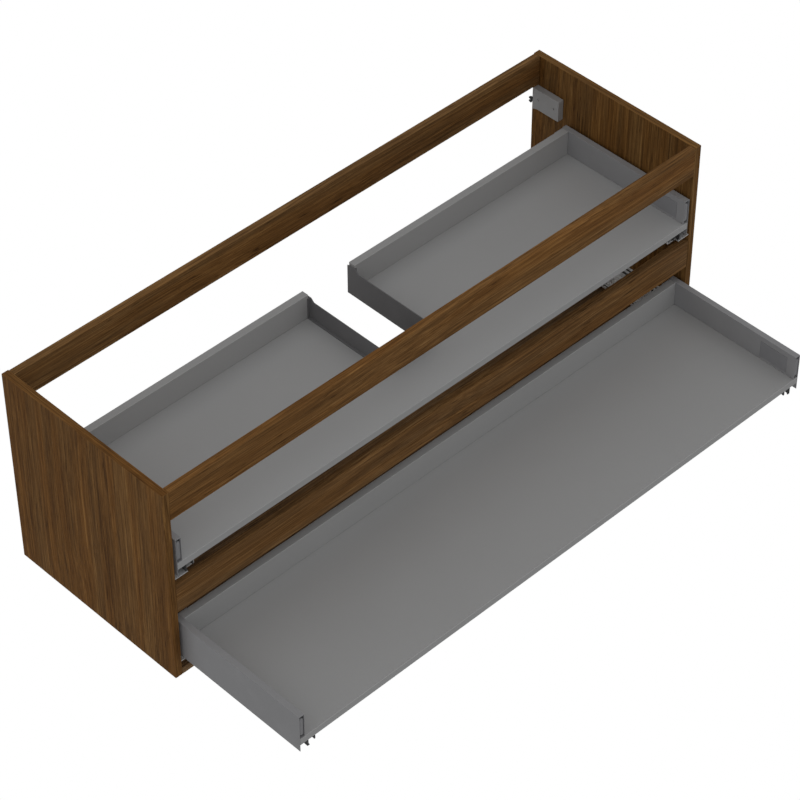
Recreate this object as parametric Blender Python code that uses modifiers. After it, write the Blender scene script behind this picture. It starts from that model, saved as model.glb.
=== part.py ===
"""Wall-hung vanity cabinet carcass with two metal-sided drawers.

The frame: X runs to the right, Y towards the wall, Z up. The origin is on the wall, on the centre
line, level with the underside. The upper drawer is shut and the lower one is pulled out.
"""

import bmesh
import bpy
from mathutils import Matrix, Vector

MM = 0.001
GAP = 0.3 * MM  # air between pieces that touch
PAST = 1 * MM  # how far a cutter runs past the surface that it starts from

# Carcass
WIDTH = 1400 * MM
DEPTH = 441 * MM
HEIGHT = 469 * MM
BOARD = 16 * MM
BOARD_EDGE = 0.6 * MM
RAIL_HEIGHT = 69 * MM
BACK_RECESS = 2 * MM
MID_RAIL_BOTTOM = 165 * MM
MID_RAIL_TOP = MID_RAIL_BOTTOM + RAIL_HEIGHT
BOTTOM_DEPTH = 365 * MM

# Drawers: a side's section is measured from its outer face inwards and from its lower edge up
SIDE_GAP = 6.7 * MM
SIDE_THICK = 12.8 * MM
SIDE_HEIGHT = 90.5 * MM
SIDE_LENGTH = 338 * MM
SIDE_SHEET = 1.0 * MM
SIDE_LEDGE = 8 * MM  # how far the inner skin turns back under itself, on the floor
FLOOR_BOTTOM = 16 * MM
FLOOR_TOP = FLOOR_BOTTOM + BOARD
GREY_BOARD_EDGE = 0.4 * MM
WALL_FRONT = 319.3 * MM
WALL_REAR = WALL_FRONT + BOARD
UPPER_BASE = 254 * MM
LOWER_BASE = 38.7 * MM
LOWER_OPEN = 311.6 * MM

# Cover cap in the inner skin of a drawer side
CAP_START = 21.1 * MM
CAP_LENGTH = 69.5 * MM
CAP_BOTTOM = 38 * MM
CAP_HEIGHT = 39.5 * MM
CAP_THICK = 1.1 * MM
CAP_PROUD = 0.1 * MM
CAP_EDGE = 0.2 * MM

# Front bracket: a long boss with round ends on a plate, and a web running back between the skins
FRONT_BRACKET_BOTTOM = 36 * MM
FRONT_BRACKET_TOP = 84.5 * MM
FRONT_BRACKET_SETBACK = 9 * MM
FRONT_PLATE = 2 * MM
FRONT_BOSS_LENGTH = 8 * MM
FRONT_BOSS_INSET = (0.4 * MM, 2 * MM)  # the boss is this much smaller than the plate
FRONT_BOSS_ROUND = 0.94  # the radius at its corners, as a share of half its width
FRONT_BOSS_CROWN = 2.6 * MM  # how far its front is rounded over
FRONT_WEB = (3 * MM, 40 * MM)  # its thickness and its length
FRONT_WEB_INSET = 3 * MM

# Back bracket: a plate on the back of the wall, with a tongue into the hollow side
BACK_PLATE_WIDTH = 35 * MM
BACK_PLATE_BOTTOM = 34 * MM
BACK_PLATE_TOP = 89.1 * MM
BACK_PLATE_REAR = SIDE_LENGTH - 0.2 * MM
TONGUE_FROM_SKIN = (5 * MM, 7 * MM)
TONGUE_FRONT = 299.3 * MM
TONGUE_REAR = 337.3 * MM
TONGUE_BOTTOM = 42 * MM
TONGUE_TOP = 78.2 * MM

# Cut-out for the waste trap in the upper drawer
TRAP_HALF = 58 * MM
TRAP_SHEET = 1.8 * MM
TRAP_FRONT = 106 * MM
TRAP_SHEET_BOTTOM = 14 * MM
TRAP_SHEET_TOP = 76.5 * MM
TRAP_POST_TOP = 84 * MM
TRAP_FLANGE = 5.4 * MM
TRAP_WALL_END = 61.5 * MM
TRAP_REAR = WALL_REAR + 1.2 * MM
TRAP_SLOPE = (306.3 * MM, 314.3 * MM)  # where the sheet's top edge rises to the post
TRAP_FOOT = 1.5 * MM
TRAP_LAP = 0.6 * MM  # how far a flange laps into the sheet that it is folded from
TRAP_POST = 1.7 * MM

# Runners: a section is measured from the panel's inner face inwards and from the side's lower edge up
RUNNER_SHEET = 1.2 * MM
RUNNER_START = 1 * MM
RUNNER_LENGTH = 345 * MM
RUNNER_BOTTOM = -5 * MM
MIDDLE_START = 29 * MM
MIDDLE_LENGTH = 300 * MM
DRAWER_PROFILE_START = 30 * MM
DRAWER_PROFILE_LENGTH = 297 * MM
CABINET_SECTION = [(53 * MM, 1 * MM), (53 * MM, RUNNER_BOTTOM), (GAP, RUNNER_BOTTOM), (GAP, 33 * MM)]
MIDDLE_SECTION = [(42 * MM, 9 * MM), (42 * MM, -2.6 * MM), (21 * MM, -2.6 * MM), (21 * MM, 9 * MM)]
DRAWER_SECTION = [
    (16 * MM, 15.5 * MM),
    (24 * MM, 15.5 * MM),
    (24 * MM, 0.8 * MM),
    (39 * MM, 0.8 * MM),
    (39 * MM, 15.5 * MM),
    (47 * MM, 15.5 * MM),
]
LIP_FROM = 31 * MM  # beyond this distance from the panel, the trough starts further back
LIP_SETBACK = 9 * MM
FLANGE_SETBACK = 12 * MM
FLANGE_CUT_BOTTOM = RUNNER_BOTTOM + RUNNER_SHEET + PAST

# Damper in its cradle, in the trough beside the middle profile
DAMPER_NEAR = 43 * MM
DAMPER_FAR = 51 * MM
DAMPER_FRONT = 190 * MM
DAMPER_REAR = 330 * MM
DAMPER_BOTTOM = -3.5 * MM
DAMPER_TOP = 0.5 * MM
DAMPER_EDGE = 0.8 * MM
DAMPER_TUBE_RISE = 3.2 * MM
DAMPER_TUBE_RADIUS = 3.7 * MM
DAMPER_TUBE_LENGTH = 120 * MM

# Catch: outlines as (distance behind the drawer's front, height above the side's lower edge)
CATCH_PIVOT = (22 * MM, 12 * MM)
CATCH_FIN = 2.4 * MM
CATCH_OUTER = 28.5 * MM
CATCH_INNER = 45 * MM
CATCH_LARGE_FIN = [
    (1.5 * MM, 13 * MM),
    (26 * MM, 13 * MM),
    (26 * MM, -0.6 * MM),
    (3.5 * MM, -2.3 * MM),
    (1.5 * MM, -1.6 * MM),
]
CATCH_SMALL_FIN = [
    (1.5 * MM, 13 * MM),
    (16 * MM, 13 * MM),
    (16 * MM, 6.5 * MM),
    (3.5 * MM, 4 * MM),
    (1.5 * MM, 4.5 * MM),
]
CATCH_BARS = {
    "bridge": ((CATCH_OUTER - PAST, 6 * MM, 9.5 * MM), (CATCH_INNER - PAST, 15 * MM, 12.4 * MM)),
    "foot": ((CATCH_OUTER - PAST, 1.7 * MM, -2 * MM), (CATCH_OUTER + 2.5 * MM, 4.5 * MM, 0)),
}

# Wall hangers, measured from the panel's inner face inwards
HANGER_DEPTH = 15.4 * MM
HANGER_FRONT = -87.5 * MM
HANGER_REAR = -15 * MM
HANGER_BOTTOM = 347 * MM
HANGER_TOP = 397 * MM
HANGER_WALL = 2 * MM
HANGER_HEEL = (12 * MM, 4 * MM)  # how long and how deep the wedge under the rear end is
HANGER_EDGE = 0.8 * MM
HANGER_SLOT_BOTTOM = 344 * MM
HANGER_SLOT_TOP = 383 * MM
HANGER_SLOT_REACH = 4 * MM
SCREW_HEIGHT = 373.5 * MM
HEIGHT_SCREW_Y = -31 * MM
DEPTH_SCREW_Y = -74.4 * MM
ACCESS_HOLE_RADIUS = 2.6 * MM
CARRIAGE_NEAR = 2.0 * MM
CARRIAGE_FAR = 4.0 * MM
CARRIAGE_FRONT = -66 * MM
CARRIAGE_REAR = -26 * MM
CARRIAGE_MARGIN = 5 * MM
CARRIAGE_EDGE = 0.4 * MM
HOOK_NEAR = 8.0 * MM
HOOK_FAR = 10.6 * MM
HOOK_TRAVEL = 7.5 * MM
HOOK_TIP = -0.2 * MM
HOOK_OUTLINE = [
    (-58 * MM, 357 * MM),
    (-58 * MM, 383 * MM),
    (-24 * MM, 383 * MM),
    (-18 * MM, 366 * MM),
    (-4.5 * MM, 366 * MM),
    (HOOK_TIP, 363 * MM),
    (HOOK_TIP, 360 * MM),
    (-4.5 * MM, 358.5 * MM),
    (-4.5 * MM, 356.5 * MM),
    (HOOK_TIP, 355 * MM),
    (HOOK_TIP, 352.5 * MM),
    (-4.5 * MM, 350.5 * MM),
    (-7 * MM, 351.5 * MM),
    (-7.5 * MM, 357 * MM),
]
SCREW_SHAFT = 2.6 * MM
SCREW_SHAFT_LENGTH = 6.5 * MM
SCREW_CLEARANCE = 0.5 * MM
SCREW_HEAD = 4.0 * MM
SCREW_HEAD_DEPTH = 2.2 * MM
SCREW_HEAD_LAP = 0.1 * MM
SCREW_RECESS_HALF = 1.6 * MM
SCREW_RECESS_DEPTH = 1.2 * MM

SIDES = {"left": -1, "right": 1}
DRAWERS = {"upper": (UPPER_BASE, 0.0), "lower": (LOWER_BASE, LOWER_OPEN)}

COLOURS = {
    "walnut_decor": ((0.085, 0.042, 0.018), 0.55, 0.0),
    "grey_board": ((0.19, 0.19, 0.185), 0.6, 0.0),
    "grey_metal": ((0.15, 0.15, 0.155), 0.5, 0.3),
    "bracket_metal": ((0.12, 0.12, 0.125), 0.5, 0.3),
    "dark_sheet": ((0.07, 0.07, 0.072), 0.5, 0.3),
    "cap_plastic": ((0.09, 0.09, 0.093), 0.5, 0.0),
    "zinc_steel": ((0.6, 0.6, 0.6), 0.35, 1.0),
    "black_plastic": ((0.02, 0.02, 0.02), 0.5, 0.0),
    "grey_plastic": ((0.15, 0.15, 0.148), 0.5, 0.0),
    "black_steel": ((0.015, 0.015, 0.015), 0.4, 0.5),
}


def clear_scene():
    for obj in list(bpy.data.objects):
        bpy.data.objects.remove(obj, do_unlink=True)


def new_collection(name):
    collection = bpy.data.collections.new(name)
    bpy.context.scene.collection.children.link(collection)
    return collection


def new_material(name, colour):
    base, roughness, metallic = COLOURS[colour]
    material = bpy.data.materials.new(name)
    material.use_nodes = True
    shader = material.node_tree.nodes["Principled BSDF"]
    shader.inputs["Base Color"].default_value = (*base, 1.0)
    shader.inputs["Roughness"].default_value = roughness
    shader.inputs["Metallic"].default_value = metallic
    return material


def object_of(name, bm, colour, location=(0, 0, 0)):
    """A finished part from bmesh geometry whose coordinates are relative to its location."""
    mesh = bpy.data.meshes.new(name)
    bm.to_mesh(mesh)
    bm.free()
    obj = bpy.data.objects.new(name, mesh)
    obj.location = location
    parts.objects.link(obj)
    mesh.materials.append(new_material(f"{name}_{colour}", colour))
    return obj


def add_box(bm, low, high):
    """A box between two corners, added to the geometry."""
    low, high = Vector(low), Vector(high)
    place = Matrix.Translation((low + high) / 2) @ Matrix.Diagonal((*(high - low), 1.0))
    bmesh.ops.create_cube(bm, size=1.0, matrix=place)


def add_cylinder(bm, centre, axis, radius, length, segments=24):
    """A cylinder about its centre, added to the geometry, with smooth sides and flat ends."""
    turn = Vector((0, 0, 1)).rotation_difference(Vector(axis)).to_matrix().to_4x4()
    place = Matrix.Translation(centre) @ turn
    made = bmesh.ops.create_cone(
        bm, cap_ends=True, segments=segments, radius1=radius, radius2=radius, depth=length, matrix=place
    )
    for face in {face for vert in made["verts"] for face in vert.link_faces}:
        face.smooth = len(face.verts) == 4


def box_object(name, low, high, colour, edge=0.0):
    """A rectangular piece with its origin in its middle."""
    middle = (Vector(low) + Vector(high)) / 2
    bm = bmesh.new()
    add_box(bm, Vector(low) - middle, Vector(high) - middle)
    obj = object_of(name, bm, colour, middle)
    if edge:
        chamfer(obj, edge)
    return obj


def chamfer(obj, width):
    bevel = obj.modifiers.new("edge", "BEVEL")
    bevel.width = width
    bevel.segments = 1


def cutter_of(name, bm, location=(0, 0, 0)):
    mesh = bpy.data.meshes.new(name)
    bm.to_mesh(mesh)
    bm.free()
    obj = bpy.data.objects.new(name, mesh)
    obj.location = location
    obj.hide_render = True
    obj.display_type = "WIRE"
    cutters.objects.link(obj)
    return obj


def box_cutter(name, low, high, parent=None):
    bm = bmesh.new()
    add_box(bm, low, high)
    cutter = cutter_of(name, bm)
    cutter.parent = parent
    return cutter


def boolean(obj, tool, operation="DIFFERENCE"):
    modifier = obj.modifiers.new(tool.name, "BOOLEAN")
    modifier.operation = operation
    modifier.object = tool
    modifier.solver = "EXACT"


def join_boxes(obj, boxes):
    """Welds boxes onto a piece, each given by its corners in the piece's own coordinates."""
    for number, (low, high) in enumerate(boxes):
        tool = box_cutter(f"{obj.name}_join_{number}", low, high, obj)
        boolean(obj, tool, "UNION")


def folded_sheet(name, path, start, length, thickness, side, colour):
    """Folded sheet metal: a path of (x, z) points drawn out along Y, with the sheet on its left.

    The path is that of the right side, seen from the front. The left one is its mirror image.
    """
    points = [(side * x, z) for x, z in path]
    if side < 0:
        points.reverse()
    bm = bmesh.new()
    near = [bm.verts.new((x, start, z)) for x, z in points]
    far = [bm.verts.new((x, start + length, z)) for x, z in points]
    for i in range(len(points) - 1):
        bm.faces.new((near[i], far[i], far[i + 1], near[i + 1]))
    obj = object_of(name, bm, colour)
    solidify = obj.modifiers.new("sheet", "SOLIDIFY")
    solidify.thickness = thickness
    solidify.offset = -1.0
    solidify.use_even_offset = True
    return obj


def outline_object(name, outline, thickness, colour):
    """A flat outline of (y, z) points with its thickness along X, from x = 0 to the thickness."""
    weld = 0.001 * MM
    flat = 0.01
    curve = bpy.data.curves.new(name, "CURVE")
    curve.dimensions = "2D"
    curve.fill_mode = "BOTH"
    curve.extrude = thickness / 2
    spline = curve.splines.new("POLY")
    spline.points.add(len(outline) - 1)
    for point, (y, z) in zip(spline.points, outline):
        point.co = (y, z, 0, 1)
    spline.use_cyclic_u = True
    drawn = bpy.data.objects.new(name, curve)
    bpy.context.scene.collection.objects.link(drawn)
    mesh = bpy.data.meshes.new_from_object(drawn.evaluated_get(bpy.context.evaluated_depsgraph_get()))
    bpy.data.objects.remove(drawn, do_unlink=True)
    bm = bmesh.new()
    bm.from_mesh(mesh)
    bpy.data.meshes.remove(mesh)
    bmesh.ops.remove_doubles(bm, verts=bm.verts, dist=weld)
    bmesh.ops.dissolve_limit(bm, angle_limit=flat, verts=bm.verts, edges=bm.edges)
    upright = Matrix(((0, 0, 1, thickness / 2), (1, 0, 0, 0), (0, 1, 0, 0), (0, 0, 0, 1)))
    bmesh.ops.transform(bm, matrix=upright, verts=bm.verts)
    return object_of(name, bm, colour)


def parent_empty(name, location):
    empty = bpy.data.objects.new(name, None)
    empty.location = location
    parts.objects.link(empty)
    return empty


def under(parent, *pieces):
    for piece in pieces:
        piece.parent = parent


def from_panel(side, distance):
    """The x of a point this far in from the inner face of a side panel."""
    return side * (WIDTH / 2 - BOARD - distance)


def low_high(a, b):
    """Two numbers in rising order, since the left side mirrors the right one."""
    return (min(a, b), max(a, b))


# Carcass


def make_carcass():
    half = WIDTH / 2
    inner = half - BOARD - GAP
    for word, side in SIDES.items():
        x0, x1 = low_high(side * half, side * (half - BOARD))
        box_object(f"side_panel_{word}", (x0, -DEPTH, 0), (x1, 0, HEIGHT), "walnut_decor", BOARD_EDGE)
    boards = {
        "front_top_rail": ((-DEPTH, HEIGHT - RAIL_HEIGHT), (-DEPTH + BOARD, HEIGHT)),
        "front_mid_rail": ((-DEPTH, MID_RAIL_BOTTOM), (-DEPTH + BOARD, MID_RAIL_TOP)),
        "back_top_rail": ((-BACK_RECESS - BOARD, HEIGHT - RAIL_HEIGHT), (-BACK_RECESS, HEIGHT)),
        "bottom_panel": ((-DEPTH, 0), (-DEPTH + BOTTOM_DEPTH, BOARD)),
    }
    for name, ((y0, z0), (y1, z1)) in boards.items():
        box_object(name, (-inner, y0, z0), (inner, y1, z1), "walnut_decor", BOARD_EDGE)


# Wall hangers


def make_hanger_housing(word, side):
    """A plastic cover, open towards the panel, with two access holes and a slot for the hook."""
    heel_length, heel_drop = HANGER_HEEL
    outline = [
        (HANGER_FRONT, HANGER_BOTTOM),
        (HANGER_FRONT, HANGER_TOP),
        (HANGER_REAR, HANGER_TOP),
        (HANGER_REAR, HANGER_BOTTOM - heel_drop),
        (HANGER_REAR - heel_length, HANGER_BOTTOM),
    ]
    housing = outline_object(f"hanger_housing_{word}", outline, HANGER_DEPTH - GAP, "grey_plastic")
    housing.location.x = min(from_panel(side, GAP), from_panel(side, HANGER_DEPTH))
    chamfer(housing, HANGER_EDGE)
    hollow_x = low_high(from_panel(side, -PAST), from_panel(side, HANGER_DEPTH - HANGER_WALL))
    low = (hollow_x[0], HANGER_FRONT + HANGER_WALL, HANGER_BOTTOM + HANGER_WALL)
    high = (hollow_x[1], HANGER_REAR - HANGER_WALL, HANGER_TOP - HANGER_WALL)
    boolean(housing, box_cutter(f"hanger_hollow_{word}", low, high))
    slot_x = low_high(from_panel(side, -PAST), from_panel(side, HOOK_FAR + PAST))
    low = (slot_x[0], HANGER_REAR - HANGER_SLOT_REACH, HANGER_SLOT_BOTTOM)
    high = (slot_x[1], HANGER_REAR + HANGER_SLOT_REACH, HANGER_SLOT_TOP)
    boolean(housing, box_cutter(f"hanger_slot_{word}", low, high))
    through = 4 * HANGER_DEPTH
    for name, y in (("height", HEIGHT_SCREW_Y), ("depth", DEPTH_SCREW_Y)):
        centre = (housing.location.x, y, SCREW_HEIGHT)
        bm = bmesh.new()
        add_cylinder(bm, centre, (1, 0, 0), ACCESS_HOLE_RADIUS, through)
        boolean(housing, cutter_of(f"hanger_{name}_access_{word}", bm))


def make_hanger_carriage(word, side):
    """A steel plate that the depth screw pushes to and from the wall."""
    x0, x1 = low_high(from_panel(side, CARRIAGE_NEAR), from_panel(side, CARRIAGE_FAR))
    low = (x0, CARRIAGE_FRONT, HANGER_BOTTOM + CARRIAGE_MARGIN)
    high = (x1, CARRIAGE_REAR, HANGER_TOP - CARRIAGE_MARGIN)
    box_object(f"hanger_carriage_{word}", low, high, "zinc_steel", CARRIAGE_EDGE)


def make_hanger_hook(word, side):
    """A steel hook that the height screw lifts, with a slot that the screw's shaft passes through."""
    thickness = HOOK_FAR - HOOK_NEAR
    hook = outline_object(f"hanger_hook_{word}", HOOK_OUTLINE, thickness, "black_steel")
    hook.location.x = min(from_panel(side, HOOK_NEAR), from_panel(side, HOOK_FAR))
    reach = SCREW_SHAFT + SCREW_CLEARANCE
    x0 = hook.location.x
    low = (x0 - PAST, HEIGHT_SCREW_Y - reach, SCREW_HEIGHT - HOOK_TRAVEL - reach)
    high = (x0 + thickness + PAST, HEIGHT_SCREW_Y + reach, SCREW_HEIGHT + HOOK_TRAVEL + reach)
    boolean(hook, box_cutter(f"hanger_hook_slot_{word}", low, high))


def make_hanger_screw(name, side, y):
    """An adjusting screw across the hanger: its head faces the room and has a square recess."""
    x = from_panel(side, HOOK_FAR + GAP)
    inward = Vector((-side, 0, 0))
    bm = bmesh.new()
    add_cylinder(bm, -inward * SCREW_SHAFT_LENGTH / 2, (1, 0, 0), SCREW_SHAFT, SCREW_SHAFT_LENGTH)
    screw = object_of(name, bm, "zinc_steel", (x, y, SCREW_HEIGHT))
    bm = bmesh.new()
    head_centre = inward * (SCREW_HEAD_DEPTH / 2 - SCREW_HEAD_LAP)
    add_cylinder(bm, head_centre, (1, 0, 0), SCREW_HEAD, SCREW_HEAD_DEPTH)
    head = cutter_of(f"{name}_head", bm)
    head.parent = screw
    boolean(screw, head, "UNION")
    middle = inward * SCREW_HEAD_DEPTH
    reach = Vector((SCREW_RECESS_DEPTH, SCREW_RECESS_HALF, SCREW_RECESS_HALF))
    boolean(screw, box_cutter(f"{name}_recess", middle - reach, middle + reach, screw))


def make_hangers():
    for word, side in SIDES.items():
        make_hanger_housing(word, side)
        make_hanger_carriage(word, side)
        make_hanger_hook(word, side)
        make_hanger_screw(f"hanger_height_screw_{word}", side, HEIGHT_SCREW_Y)
        make_hanger_screw(f"hanger_depth_screw_{word}", side, DEPTH_SCREW_Y)


# Runners


def runner_path(section):
    """A section's points as (x, height) on the right side."""
    return [(WIDTH / 2 - BOARD - distance, height) for distance, height in section]


def make_cabinet_profile(tag, side, base):
    """The fixed profile on the side panel: a flange up the panel and a trough under the drawer."""
    start = -DEPTH + RUNNER_START
    path = [(x, base + z) for x, z in runner_path(CABINET_SECTION)]
    name = f"runner_cabinet_{tag}"
    profile = folded_sheet(name, path, start, RUNNER_LENGTH, RUNNER_SHEET, side, "zinc_steel")
    trough_end = CABINET_SECTION[0][0] + PAST
    x0, x1 = low_high(from_panel(side, LIP_FROM), from_panel(side, trough_end))
    low = (x0, start - PAST, base + RUNNER_BOTTOM - PAST)
    high = (x1, start + LIP_SETBACK, base + CABINET_SECTION[0][1] + PAST)
    boolean(profile, box_cutter(f"{name}_lip_setback", low, high))
    x0, x1 = low_high(from_panel(side, -PAST), from_panel(side, RUNNER_SHEET + PAST))
    low = (x0, start - PAST, base + FLANGE_CUT_BOTTOM)
    high = (x1, start + FLANGE_SETBACK, base + CABINET_SECTION[-1][1] + PAST)
    boolean(profile, box_cutter(f"{name}_flange_setback", low, high))


def make_damper(tag, side, base):
    """The soft-close cylinder in its cradle, on the inner lip of the fixed profile."""
    x0, x1 = low_high(from_panel(side, DAMPER_NEAR), from_panel(side, DAMPER_FAR))
    low = (x0, -DEPTH + DAMPER_FRONT, base + DAMPER_BOTTOM)
    high = (x1, -DEPTH + DAMPER_REAR, base + DAMPER_TOP)
    damper = box_object(f"runner_damper_{tag}", low, high, "black_plastic", DAMPER_EDGE)
    bm = bmesh.new()
    add_cylinder(bm, (0, 0, DAMPER_TUBE_RISE), (0, 1, 0), DAMPER_TUBE_RADIUS, DAMPER_TUBE_LENGTH)
    tube = cutter_of(f"runner_damper_tube_{tag}", bm)
    tube.parent = damper
    boolean(damper, tube, "UNION")


def make_middle_profile(tag, side, base, opened):
    """The profile between the other two, which moves half as far as the drawer."""
    slide = parent_empty(f"runner_middle_slide_{tag}", (0, -DEPTH - opened / 2, base))
    path = runner_path(MIDDLE_SECTION)
    name = f"runner_middle_{tag}"
    profile = folded_sheet(name, path, MIDDLE_START, MIDDLE_LENGTH, RUNNER_SHEET, side, "zinc_steel")
    under(slide, profile)


def make_drawer_profile(tag, side, drawer):
    """The profile under the drawer's floor, which hangs into the middle one."""
    path = runner_path(DRAWER_SECTION)
    name = f"runner_drawer_{tag}"
    start = DRAWER_PROFILE_START
    length = DRAWER_PROFILE_LENGTH
    profile = folded_sheet(name, path, start, length, RUNNER_SHEET, side, "zinc_steel")
    under(drawer, profile)


def fin(name, outline, side, distance):
    """A plate across the drawer's front, whose inner face is this far from the panel."""
    y, z = CATCH_PIVOT
    points = [(point_y - y, point_z - z) for point_y, point_z in outline]
    plate = outline_object(name, points, CATCH_FIN, "black_plastic")
    plate.location.x = min(from_panel(side, distance), from_panel(side, distance - CATCH_FIN))
    return plate


def make_catch(tag, side, drawer):
    """The sprung catch under the drawer's front: two fins on one lever, which turns about X."""
    y, z = CATCH_PIVOT
    name = f"drawer_catch_{tag}"
    catch = fin(name, CATCH_LARGE_FIN, side, CATCH_OUTER)
    catch.location.y = y
    catch.location.z = z
    other = fin(f"{name}_small_fin", CATCH_SMALL_FIN, side, CATCH_INNER)
    other.location.y = y
    other.location.z = z
    parts.objects.unlink(other)
    cutters.objects.link(other)
    other.hide_render = True
    other.display_type = "WIRE"
    boolean(catch, other, "UNION")
    for word, (low, high) in CATCH_BARS.items():
        x0, x1 = low_high(from_panel(side, low[0]), from_panel(side, high[0]))
        bar = box_cutter(f"{name}_{word}", (x0, low[1], low[2]), (x1, high[1], high[2]), drawer)
        boolean(catch, bar, "UNION")
    under(drawer, catch, other)


# Drawers, in each drawer's own frame: y = 0 at the front ends of its sides, z = 0 at their lower edge


def side_path():
    """The double-walled side in section: up the outer skin, over the top and down the inner skin."""
    outer = WIDTH / 2 - BOARD - SIDE_GAP
    inner = outer - SIDE_THICK
    skin_end = FLOOR_TOP + GAP
    return [
        (outer, 0),
        (outer, SIDE_HEIGHT),
        (inner, SIDE_HEIGHT),
        (inner, skin_end),
        (inner + SIDE_LEDGE, skin_end),
    ]


def make_drawer_side(tag, side, drawer):
    name = f"drawer_side_{tag}"
    metal = folded_sheet(name, side_path(), 0, SIDE_LENGTH, SIDE_SHEET, side, "grey_metal")
    inner = WIDTH / 2 - BOARD - SIDE_GAP - SIDE_THICK
    reach = SIDE_SHEET + PAST
    x0, x1 = low_high(side * (inner - reach), side * (inner + reach))
    low = (x0, CAP_START, CAP_BOTTOM)
    high = (x1, CAP_START + CAP_LENGTH, CAP_BOTTOM + CAP_HEIGHT)
    boolean(metal, box_cutter(f"{name}_cap_window", low, high, drawer))
    low = (x0, WALL_REAR, FLOOR_TOP)
    high = (x1, SIDE_LENGTH + PAST, SIDE_HEIGHT + PAST)
    boolean(metal, box_cutter(f"{name}_bracket_notch", low, high, drawer))
    under(drawer, metal)


def make_cover_cap(tag, side, drawer):
    """The snap-in cap over the adjusting window, set flush in the inner skin."""
    inner = WIDTH / 2 - BOARD - SIDE_GAP - SIDE_THICK
    face = inner - CAP_PROUD
    x0, x1 = low_high(side * face, side * (face + CAP_THICK))
    low = (x0, CAP_START + GAP, CAP_BOTTOM + GAP)
    high = (x1, CAP_START + CAP_LENGTH - GAP, CAP_BOTTOM + CAP_HEIGHT - GAP)
    cap = box_object(f"cover_cap_{tag}", low, high, "cap_plastic", CAP_EDGE)
    under(drawer, cap)


def make_front_bracket(tag, side, drawer):
    """The bracket in the open front end: a round-ended boss on a plate between the two skins."""
    half_x = SIDE_THICK / 2 - SIDE_SHEET - GAP
    half_z = (FRONT_BRACKET_TOP - FRONT_BRACKET_BOTTOM) / 2
    inset_x, inset_z = FRONT_BOSS_INSET
    web, web_length = FRONT_WEB
    middle = side * (WIDTH / 2 - BOARD - SIDE_GAP - SIDE_THICK / 2)
    centre = Vector((middle, FRONT_BRACKET_SETBACK, FRONT_BRACKET_BOTTOM + half_z))
    bm = bmesh.new()
    add_box(bm, (-half_x, -FRONT_PLATE / 2, -half_z), (half_x, FRONT_PLATE / 2, half_z))
    bracket = object_of(f"front_bracket_{tag}", bm, "bracket_metal", centre)
    bm = bmesh.new()
    boss_x = half_x - inset_x
    boss_z = half_z - inset_z
    add_box(bm, (-boss_x, -FRONT_BOSS_LENGTH, -boss_z), (boss_x, 0, boss_z))
    corners = [edge for edge in bm.edges if edge.verts[0].co.y != edge.verts[1].co.y]
    radius = FRONT_BOSS_ROUND * boss_x
    bmesh.ops.bevel(bm, geom=corners, offset=radius, segments=8, profile=0.5, affect="EDGES")
    front = -FRONT_BOSS_LENGTH + GAP
    rim = [edge for edge in bm.edges if all(vert.co.y < front for vert in edge.verts)]
    bmesh.ops.bevel(bm, geom=rim, offset=FRONT_BOSS_CROWN, segments=4, profile=0.5, affect="EDGES")
    boss = cutter_of(f"front_bracket_boss_{tag}", bm)
    boss.parent = bracket
    boolean(bracket, boss, "UNION")
    web_z = half_z - FRONT_WEB_INSET
    join_boxes(bracket, [((-web / 2, 0, -web_z), (web / 2, web_length, web_z))])
    under(drawer, bracket)


def make_back_bracket(tag, side, drawer):
    """The sheet that screws to the back of the back wall and clips into the hollow side."""
    outer = WIDTH / 2 - BOARD - SIDE_GAP
    near = outer - SIDE_SHEET - GAP
    x0, x1 = low_high(side * near, side * (outer - BACK_PLATE_WIDTH))
    low = (x0, WALL_REAR + GAP, BACK_PLATE_BOTTOM)
    high = (x1, BACK_PLATE_REAR, BACK_PLATE_TOP)
    bracket = box_object(f"back_bracket_{tag}", low, high, "grey_metal")
    tongue_near, tongue_far = TONGUE_FROM_SKIN
    x0, x1 = low_high(side * (outer - tongue_near), side * (outer - tongue_far))
    low = Vector((x0, TONGUE_FRONT, TONGUE_BOTTOM)) - bracket.location
    high = Vector((x1, TONGUE_REAR, TONGUE_TOP)) - bracket.location
    join_boxes(bracket, [(low, high)])
    under(drawer, bracket)


def floor_half():
    """Half of a drawer floor's width: it reaches to the sides' outer skins."""
    return WIDTH / 2 - BOARD - SIDE_GAP - SIDE_SHEET - GAP


def wall_half():
    """Half of a back wall's width: it ends at the sides' inner skins."""
    return WIDTH / 2 - BOARD - SIDE_GAP - SIDE_THICK - GAP


def make_drawer_floor(word, drawer):
    half = floor_half()
    low = (-half, 0, FLOOR_BOTTOM)
    high = (half, WALL_REAR, FLOOR_TOP)
    floor = box_object(f"drawer_floor_{word}", low, high, "grey_board", GREY_BOARD_EDGE)
    under(drawer, floor)
    return floor


def make_back_wall(name, x0, x1, drawer):
    low = (x0, WALL_FRONT, FLOOR_TOP + GAP)
    high = (x1, WALL_REAR, SIDE_HEIGHT)
    under(drawer, box_object(name, low, high, "grey_board", GREY_BOARD_EDGE))


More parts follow.
